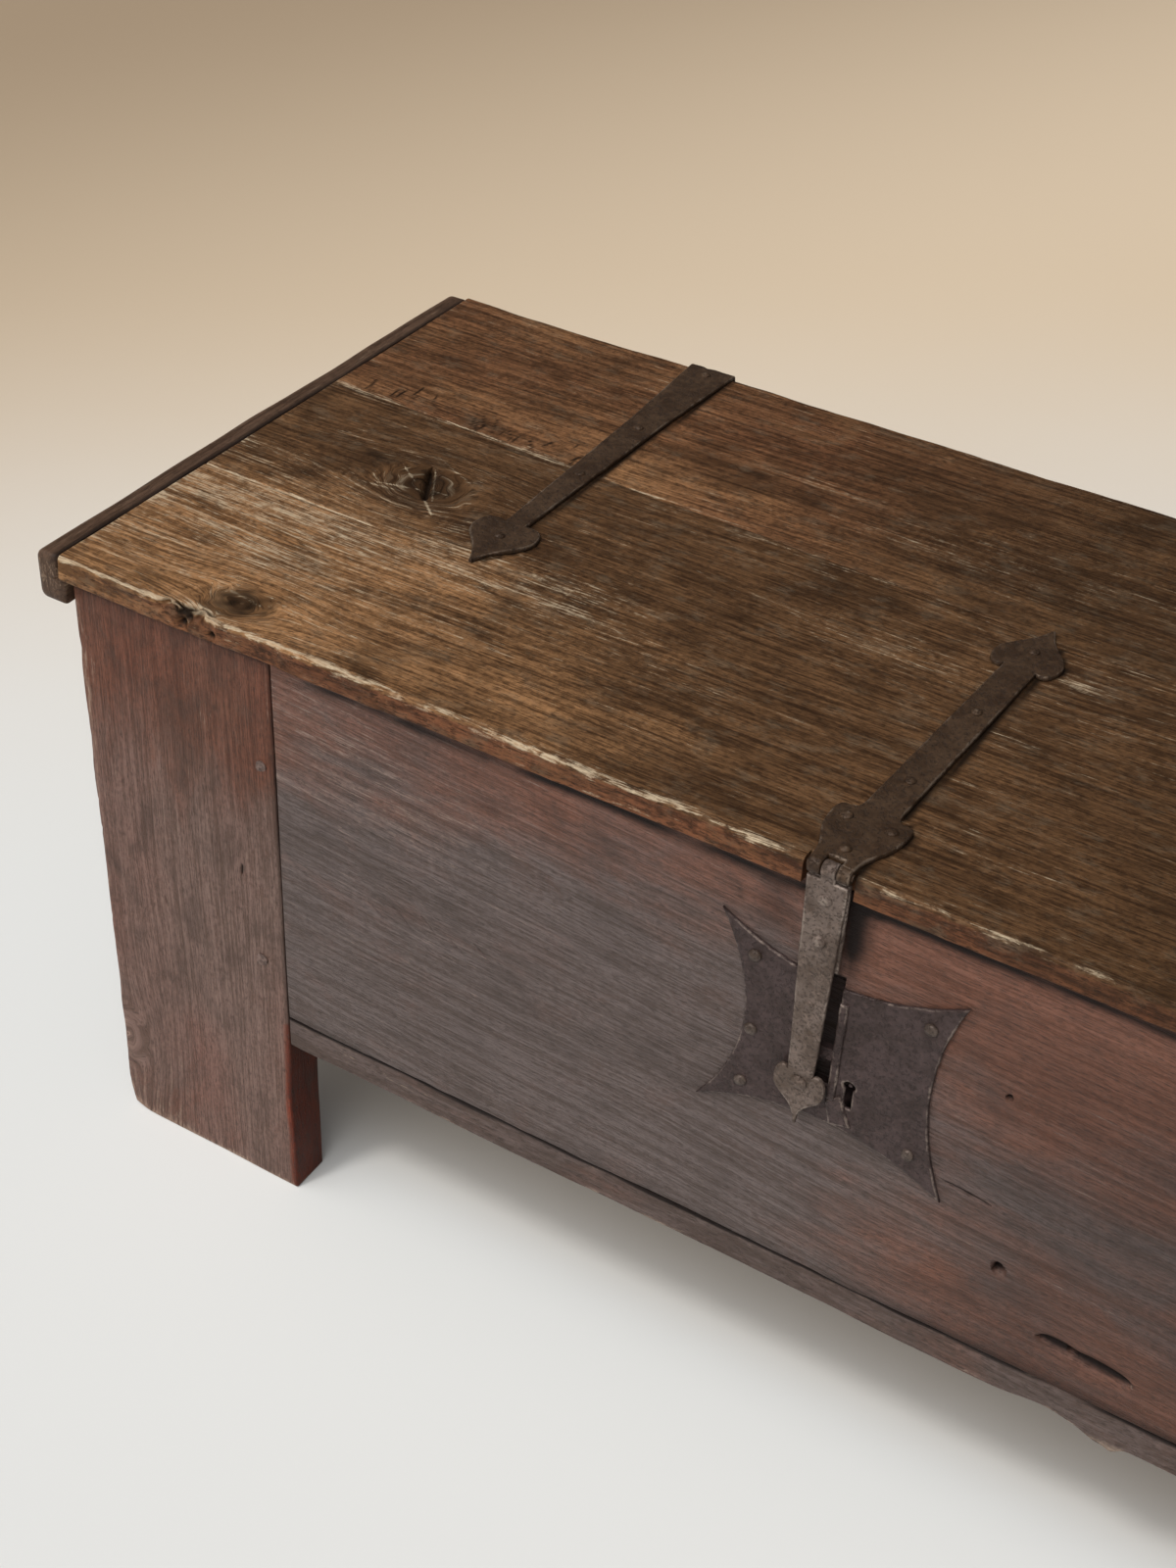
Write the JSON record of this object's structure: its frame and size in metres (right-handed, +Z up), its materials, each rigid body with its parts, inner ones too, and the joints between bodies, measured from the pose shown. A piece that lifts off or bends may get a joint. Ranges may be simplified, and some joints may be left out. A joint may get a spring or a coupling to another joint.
{
  "type": "plank chest",
  "caption": "Long oak chest on plank legs with a hinged plank lid, iron strap hinges, and a hasp that a sliding lock bolt holds shut.",
  "frame": {"origin": "on the floor, under the middle of the chest", "axes": "+X to the right along the chest, +Y from the front to the back, +Z up"},
  "size_m": [1.3006, 0.5472, 0.5616],
  "materials": {
    "front_oak": "old oak, dull wax, purplish brown, grain along the board",
    "stile_oak": "old oak, dull wax, reddish brown, upright grain",
    "lid_oak": "old oak, rubbed by use, golden where worn",
    "cleat_oak": "old oak, nearly black with handling",
    "inside_oak": "old oak, dry and unpolished",
    "peg_oak": "old oak, end grain",
    "strap_iron": "forged iron, brown and rubbed",
    "lock_iron": "forged iron, grey brown, worn bright at the edges",
    "nail_iron": "forged iron heads, rubbed"
  },
  "bodies": {
    "chest": {"front_board": "front_oak", "front_stile_left": "stile_oak", "front_stile_right": "stile_oak", "front_peg_left_1": "peg_oak", "front_peg_left_2": "peg_oak", "front_peg_left_3": "peg_oak", "front_peg_right_1": "peg_oak", "front_peg_right_2": "peg_oak", "front_peg_right_3": "peg_oak", "back_board": "inside_oak", "back_stile_left": "stile_oak", "back_stile_right": "stile_oak", "end_board_left": "inside_oak", "end_board_right": "inside_oak", "floor_board_front": "inside_oak", "floor_board_rear": "inside_oak", "hinge_leaf_left": "strap_iron", "hinge_leaf_right": "strap_iron", "hinge_pin_left": "strap_iron", "hinge_pin_right": "strap_iron", "lock_plate": "lock_iron", "lock_plate_nail_1": "nail_iron", "lock_plate_nail_2": "nail_iron", "lock_plate_nail_3": "nail_iron", "lock_plate_nail_4": "nail_iron", "lock_plate_nail_5": "nail_iron", "lock_case": "lock_iron", "bolt_spring": "lock_iron", "key_pin": "lock_iron"},
    "lid": {"lid_board_front": "lid_oak", "lid_board_rear": "lid_oak", "lid_cleat_left": "cleat_oak", "lid_cleat_right": "cleat_oak", "hinge_strap_left": "strap_iron", "hinge_strap_right": "strap_iron", "hinge_nail_left_1": "nail_iron", "hinge_nail_left_2": "nail_iron", "hinge_nail_left_3": "nail_iron", "hinge_nail_left_4": "nail_iron", "hinge_nail_right_1": "nail_iron", "hinge_nail_right_2": "nail_iron", "hinge_nail_right_3": "nail_iron", "hinge_nail_right_4": "nail_iron", "hasp_strap": "strap_iron", "hasp_strap_nail_1": "nail_iron", "hasp_strap_nail_2": "nail_iron", "hasp_strap_nail_3": "nail_iron", "hasp_strap_nail_4": "nail_iron", "hasp_strap_nail_5": "nail_iron", "hasp_strap_nail_6": "nail_iron", "hasp_pin": "strap_iron"},
    "hasp": {"hasp_plate": "strap_iron", "hasp_staple": "strap_iron", "hasp_rivet_1": "nail_iron", "hasp_rivet_2": "nail_iron", "hasp_rivet_3": "nail_iron", "hasp_rivet_4": "nail_iron"},
    "bolt": {"lock_bolt": "lock_iron"}
  },
  "joints": [
    {"name": "lid_hinge", "type": "hinge", "parent": "chest", "child": "lid", "pos_m": [0, 0.2678, 0.5363], "axis": [-1, 0, 0], "range_deg": [0, 105]},
    {"name": "hasp_hinge", "type": "hinge", "parent": "lid", "child": "hasp", "pos_m": [-0.015, -0.26745, 0.5536], "axis": [-1, 0, 0], "range_deg": [0, 195]},
    {"name": "bolt_slide", "type": "slide", "parent": "chest", "child": "bolt", "axis": [-1, 0, 0], "range_m": [0, 0.015]}
  ]
}
